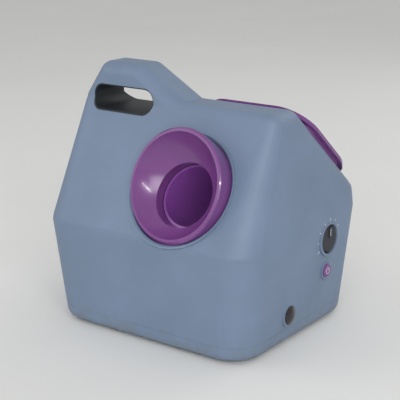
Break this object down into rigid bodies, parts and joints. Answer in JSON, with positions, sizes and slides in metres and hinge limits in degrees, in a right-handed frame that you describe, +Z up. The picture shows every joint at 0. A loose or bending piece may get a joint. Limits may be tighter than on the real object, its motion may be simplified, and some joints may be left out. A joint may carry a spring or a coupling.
{
  "type": "automatic dog ball launcher",
  "caption": "Free-standing machine that takes tennis-size balls from a bowl on its sloping back and throws them with a sprung arm through a turning chute",
  "frame": {"origin": "on the floor, under the middle of the housing", "axes": "+Z up, front with the launch chute towards -Y, carry handle on the -X side, ball bowl on the +X side"},
  "size_m": [0.301, 0.2694, 0.3119],
  "materials": {
    "base_pan": "fine moulded texture",
    "main_housing": "fine moulded texture",
    "handle_liner": "matt",
    "ball_bowl": "gloss",
    "launch_chute": "gloss",
    "chute_retainer": "matt",
    "launch_barrel": "semi-gloss",
    "barrel_end_cap": "matt",
    "launch_arm": "acetal, low gloss",
    "arm_sector": "acetal, low gloss",
    "arm_shaft": "ground",
    "hammer_pad": "matt",
    "arm_spring": "spring wire",
    "arm_bracket": "matt",
    "inner_gear_plate": "zinc plated",
    "outer_gear_plate": "zinc plated",
    "plate_spacers": "turned",
    "cocking_wheel": "acetal, low gloss",
    "cocking_shaft": "ground",
    "idler_gear": "acetal, low gloss",
    "idler_shaft": "ground",
    "motor": "zinc plated",
    "motor_pinion": "turned",
    "shaft_bushes": "turned",
    "distance_dial": "matt",
    "dial_shaft": "ground",
    "dial_sensor": "matt",
    "power_button": "semi-gloss",
    "power_switch": "matt",
    "status_light": "clear green",
    "side_sensor_lens": "dark infrared-clear",
    "rear_sensor_lens": "dark infrared-clear",
    "sensor_boards": "solder mask",
    "control_board": "solder mask",
    "board_parts": "matt",
    "buzzer": "matt",
    "ball_lever": "acetal, low gloss",
    "ball_switch": "matt",
    "battery_door": "fine moulded texture",
    "door_latch": "matt",
    "battery_contacts": "zinc plated",
    "battery_cells": "printed sleeve",
    "power_jack": "matt",
    "rubber_feet": "matt",
    "housing_screws": "zinc plated"
  },
  "bodies": {
    "housing": {"base_pan": "base_pan", "main_housing": "main_housing", "handle_liner": "handle_liner", "ball_bowl": "ball_bowl", "chute_retainer": "chute_retainer", "launch_barrel": "launch_barrel", "barrel_end_cap": "barrel_end_cap", "arm_spring": "arm_spring", "arm_bracket": "arm_bracket", "inner_gear_plate": "inner_gear_plate", "outer_gear_plate": "outer_gear_plate", "plate_spacers": "plate_spacers", "cocking_shaft": "cocking_shaft", "idler_shaft": "idler_shaft", "motor": "motor", "shaft_bushes": "shaft_bushes", "dial_sensor": "dial_sensor", "power_switch": "power_switch", "status_light": "status_light", "side_sensor_lens": "side_sensor_lens", "rear_sensor_lens": "rear_sensor_lens", "sensor_boards": "sensor_boards", "control_board": "control_board", "board_parts": "board_parts", "buzzer": "buzzer", "ball_switch": "ball_switch", "battery_door": "battery_door", "battery_contacts": "battery_contacts", "battery_cells": "battery_cells", "power_jack": "power_jack", "rubber_feet": "rubber_feet", "housing_screws": "housing_screws"},
    "chute": {"launch_chute": "launch_chute"},
    "arm": {"launch_arm": "launch_arm", "hammer_pad": "hammer_pad", "arm_shaft": "arm_shaft", "arm_sector": "arm_sector"},
    "wheel": {"cocking_wheel": "cocking_wheel"},
    "idler": {"idler_gear": "idler_gear"},
    "pinion": {"motor_pinion": "motor_pinion"},
    "dial": {"distance_dial": "distance_dial", "dial_shaft": "dial_shaft"},
    "button": {"power_button": "power_button"},
    "latch": {"door_latch": "door_latch"},
    "lever": {"ball_lever": "ball_lever"}
  },
  "joints": [
    {"name": "chute_turn", "type": "hinge", "parent": "housing", "child": "chute", "pos_m": [0.039, -0.09896, 0.188], "axis": [0, -0.856, 0.5169], "range_deg": [-160, 20]},
    {"name": "arm_swing", "type": "hinge", "parent": "housing", "child": "arm", "pos_m": [0.039, 0.05083, 0.0298], "axis": [-1, 0, 0], "range_deg": [0, 40], "stiffness_Nm_per_rad": 0.3, "springref_deg": -28.65},
    {"name": "cocking_wheel_spin", "type": "hinge", "parent": "housing", "child": "wheel", "pos_m": [0.0965, 0.00146, 0.0583], "axis": [1, 0, 0], "range_deg": [0, 86.67]},
    {"name": "idler_spin", "type": "hinge", "parent": "housing", "child": "idler", "pos_m": [0.09, -0.02971, 0.0403], "axis": [-1, 0, 0], "range_deg": [0, 433.33]},
    {"name": "motor_pinion_spin", "type": "hinge", "parent": "housing", "child": "pinion", "pos_m": [0.09, -0.05321, 0.03175], "axis": [1, 0, 0], "range_deg": [0, 1733.33]},
    {"name": "distance_dial_turn", "type": "hinge", "parent": "housing", "child": "dial", "pos_m": [0.1415, 0.048, 0.112], "axis": [1, 0, 0], "range_deg": [-120, 120]},
    {"name": "power_button_press", "type": "slide", "parent": "housing", "child": "button", "axis": [-1, 0, 0], "range_m": [0, 0.0025], "stiffness_N_per_m": 250, "springref_m": -0.001},
    {"name": "door_latch_turn", "type": "hinge", "parent": "housing", "child": "latch", "pos_m": [-0.063, 0.0483, 0.004], "axis": [0, 0, 1], "range_deg": [-90, 0]},
    {"name": "ball_lever_tilt", "type": "hinge", "parent": "housing", "child": "lever", "pos_m": [0.039, 0.01388, 0.06846], "axis": [-1, 0, 0], "range_deg": [0, 15], "stiffness_Nm_per_rad": 0.004, "springref_deg": -11.46}
  ],
  "couplings": [
    {"joint": "cocking_wheel_spin", "follows": "arm_swing", "ratio": 2.1667},
    {"joint": "idler_spin", "follows": "arm_swing", "ratio": 10.833},
    {"joint": "motor_pinion_spin", "follows": "arm_swing", "ratio": 43.333}
  ]
}
